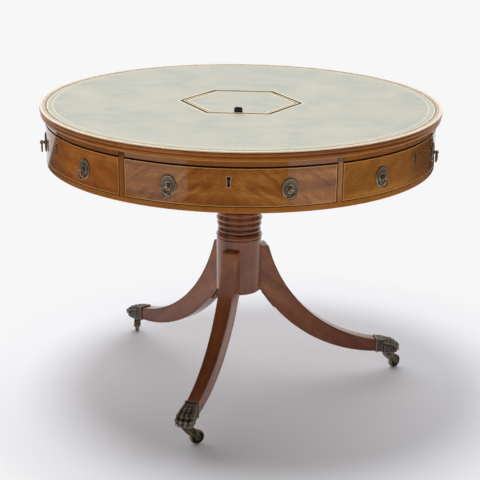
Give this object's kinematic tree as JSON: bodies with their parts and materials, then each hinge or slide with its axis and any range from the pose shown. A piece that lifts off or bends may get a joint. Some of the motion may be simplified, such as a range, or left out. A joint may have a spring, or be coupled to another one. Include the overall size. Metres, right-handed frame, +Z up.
{
  "type": "drum writing table",
  "caption": "Round mahogany drum table with a revolving leather top over wedge drawers, a lidded well, and a ringed pillar on swept legs with paw casters.",
  "frame": {"origin": "on the floor under the pillar's axis, which is the centre of the bounding box's underside", "axes": "+Z up; -Y towards the front, where drawer 1 faces with the drum at rest; +X to the right of someone who faces that drawer"},
  "size_m": [0.99, 0.99, 0.768],
  "materials": {
    "mahogany": "french polished",
    "crossband": "french polished",
    "oak": "dry, waxed",
    "pine": "dry, darkened",
    "leather": "tooled hide, gilt lines",
    "tab_leather": "worn",
    "brass": "aged, lacquered",
    "dark_brass": "dark patina",
    "iron": "black oxide"
  },
  "bodies": {
    "pedestal": {"pillar": "mahogany", "leg_1": "mahogany", "leg_2": "mahogany", "leg_3": "mahogany", "bearer_block": "mahogany", "spindle": "iron", "leg_strap": "iron", "strap_screws": "iron", "paw_sockets": "dark_brass"},
    "drum": {"top_board": "mahogany", "top_crossband": "crossband", "top_leather": "leather", "upper_rail": "mahogany", "lower_rail": "mahogany", "drum_floor": "pine", "drawer_dividers": "mahogany", "drawer_runners": "oak", "well_box": "mahogany", "hinge_fixed_leaves": "brass"},
    "lid": {"lid_panel": "mahogany", "lid_leather": "leather", "lid_tab": "tab_leather", "hinge_moving_leaves": "brass"},
    "drawer_1": {"drawer_front_1": "mahogany", "drawer_box_1": "oak", "drawer_brass_1": "brass"},
    "ring_left_1": {"pull_ring_left_1": "brass"},
    "ring_right_1": {"pull_ring_right_1": "brass"},
    "drawer_2": {"drawer_front_2": "mahogany", "drawer_box_2": "oak", "drawer_brass_2": "brass"},
    "ring_left_2": {"pull_ring_left_2": "brass"},
    "ring_right_2": {"pull_ring_right_2": "brass"},
    "drawer_3": {"drawer_front_3": "mahogany", "drawer_box_3": "oak", "drawer_brass_3": "brass"},
    "ring_left_3": {"pull_ring_left_3": "brass"},
    "ring_right_3": {"pull_ring_right_3": "brass"},
    "drawer_4": {"drawer_front_4": "mahogany", "drawer_box_4": "oak", "drawer_brass_4": "brass"},
    "ring_left_4": {"pull_ring_left_4": "brass"},
    "ring_right_4": {"pull_ring_right_4": "brass"},
    "drawer_5": {"drawer_front_5": "mahogany", "drawer_box_5": "oak", "drawer_brass_5": "brass"},
    "ring_left_5": {"pull_ring_left_5": "brass"},
    "ring_right_5": {"pull_ring_right_5": "brass"},
    "drawer_6": {"drawer_front_6": "mahogany", "drawer_box_6": "oak", "drawer_brass_6": "brass"},
    "ring_left_6": {"pull_ring_left_6": "brass"},
    "ring_right_6": {"pull_ring_right_6": "brass"},
    "caster_1": {"caster_fork_1": "dark_brass"},
    "wheel_1": {"caster_wheel_1": "dark_brass"},
    "caster_2": {"caster_fork_2": "dark_brass"},
    "wheel_2": {"caster_wheel_2": "dark_brass"},
    "caster_3": {"caster_fork_3": "dark_brass"},
    "wheel_3": {"caster_wheel_3": "dark_brass"}
  },
  "joints": [
    {"name": "drum_turn", "type": "hinge", "parent": "pedestal", "child": "drum", "pos_m": [0, 0, 0.616], "axis": [0, 0, 1], "continuous": true},
    {"name": "lid_hinge", "type": "hinge", "parent": "drum", "child": "lid", "pos_m": [0, 0.1299, 0.7536], "axis": [-1, 0, 0], "range_deg": [0, 95]},
    {"name": "drawer_slide_1", "type": "slide", "parent": "drum", "child": "drawer_1", "axis": [0, -1, 0], "range_m": [0, 0.25]},
    {"name": "ring_swing_left_1", "type": "hinge", "parent": "drawer_1", "child": "ring_left_1", "pos_m": [-0.13561, -0.47294, 0.669], "axis": [-0.9613, 0.2756, 0], "range_deg": [-10, 150]},
    {"name": "ring_swing_right_1", "type": "hinge", "parent": "drawer_1", "child": "ring_right_1", "pos_m": [0.13561, -0.47294, 0.669], "axis": [-0.9613, -0.2756, 0], "range_deg": [-10, 150]},
    {"name": "drawer_slide_2", "type": "slide", "parent": "drum", "child": "drawer_2", "axis": [0.866, -0.5, 0], "range_m": [0, 0.25]},
    {"name": "ring_swing_left_2", "type": "hinge", "parent": "drawer_2", "child": "ring_left_2", "pos_m": [0.34177, -0.35391, 0.669], "axis": [-0.7193, -0.6947, 0], "range_deg": [-10, 150]},
    {"name": "ring_swing_right_2", "type": "hinge", "parent": "drawer_2", "child": "ring_right_2", "pos_m": [0.47739, -0.11903, 0.669], "axis": [-0.2419, -0.9703, 0], "range_deg": [-10, 150]},
    {"name": "drawer_slide_3", "type": "slide", "parent": "drum", "child": "drawer_3", "axis": [0.866, 0.5, 0], "range_m": [0, 0.25]},
    {"name": "ring_swing_left_3", "type": "hinge", "parent": "drawer_3", "child": "ring_left_3", "pos_m": [0.47739, 0.11903, 0.669], "axis": [0.2419, -0.9703, 0], "range_deg": [-10, 150]},
    {"name": "ring_swing_right_3", "type": "hinge", "parent": "drawer_3", "child": "ring_right_3", "pos_m": [0.34177, 0.35391, 0.669], "axis": [0.7193, -0.6947, 0], "range_deg": [-10, 150]},
    {"name": "drawer_slide_4", "type": "slide", "parent": "drum", "child": "drawer_4", "axis": [0, 1, 0], "range_m": [0, 0.25]},
    {"name": "ring_swing_left_4", "type": "hinge", "parent": "drawer_4", "child": "ring_left_4", "pos_m": [0.13561, 0.47294, 0.669], "axis": [0.9613, -0.2756, 0], "range_deg": [-10, 150]},
    {"name": "ring_swing_right_4", "type": "hinge", "parent": "drawer_4", "child": "ring_right_4", "pos_m": [-0.13561, 0.47294, 0.669], "axis": [0.9613, 0.2756, 0], "range_deg": [-10, 150]},
    {"name": "drawer_slide_5", "type": "slide", "parent": "drum", "child": "drawer_5", "axis": [-0.866, 0.5, 0], "range_m": [0, 0.25]},
    {"name": "ring_swing_left_5", "type": "hinge", "parent": "drawer_5", "child": "ring_left_5", "pos_m": [-0.34177, 0.35391, 0.669], "axis": [0.7193, 0.6947, 0], "range_deg": [-10, 150]},
    {"name": "ring_swing_right_5", "type": "hinge", "parent": "drawer_5", "child": "ring_right_5", "pos_m": [-0.47739, 0.11903, 0.669], "axis": [0.2419, 0.9703, 0], "range_deg": [-10, 150]},
    {"name": "drawer_slide_6", "type": "slide", "parent": "drum", "child": "drawer_6", "axis": [-0.866, -0.5, 0], "range_m": [0, 0.25]},
    {"name": "ring_swing_left_6", "type": "hinge", "parent": "drawer_6", "child": "ring_left_6", "pos_m": [-0.47739, -0.11903, 0.669], "axis": [-0.2419, 0.9703, 0], "range_deg": [-10, 150]},
    {"name": "ring_swing_right_6", "type": "hinge", "parent": "drawer_6", "child": "ring_right_6", "pos_m": [-0.34177, -0.35391, 0.669], "axis": [-0.7193, 0.6947, 0], "range_deg": [-10, 150]},
    {"name": "caster_swivel_1", "type": "hinge", "parent": "pedestal", "child": "caster_1", "pos_m": [-0.09975, -0.38323, 0.053], "axis": [0, 0, 1], "continuous": true},
    {"name": "wheel_roll_1", "type": "hinge", "parent": "caster_1", "child": "wheel_1", "pos_m": [-0.07637, -0.36973, 0.018], "axis": [-0.5, 0.866, 0], "continuous": true},
    {"name": "caster_swivel_2", "type": "hinge", "parent": "pedestal", "child": "caster_2", "pos_m": [0.40104, 0.11054, 0.053], "axis": [0, 0, 1], "continuous": true},
    {"name": "wheel_roll_2", "type": "hinge", "parent": "caster_2", "child": "wheel_2", "pos_m": [0.42111, 0.12861, 0.018], "axis": [-0.6691, 0.7431, 0], "continuous": true},
    {"name": "caster_swivel_3", "type": "hinge", "parent": "pedestal", "child": "caster_3", "pos_m": [-0.30409, 0.29977, 0.053], "axis": [0, 0, 1], "continuous": true},
    {"name": "wheel_roll_3", "type": "hinge", "parent": "caster_3", "child": "wheel_3", "pos_m": [-0.30878, 0.32636, 0.018], "axis": [-0.9848, -0.1736, 0], "continuous": true}
  ]
}
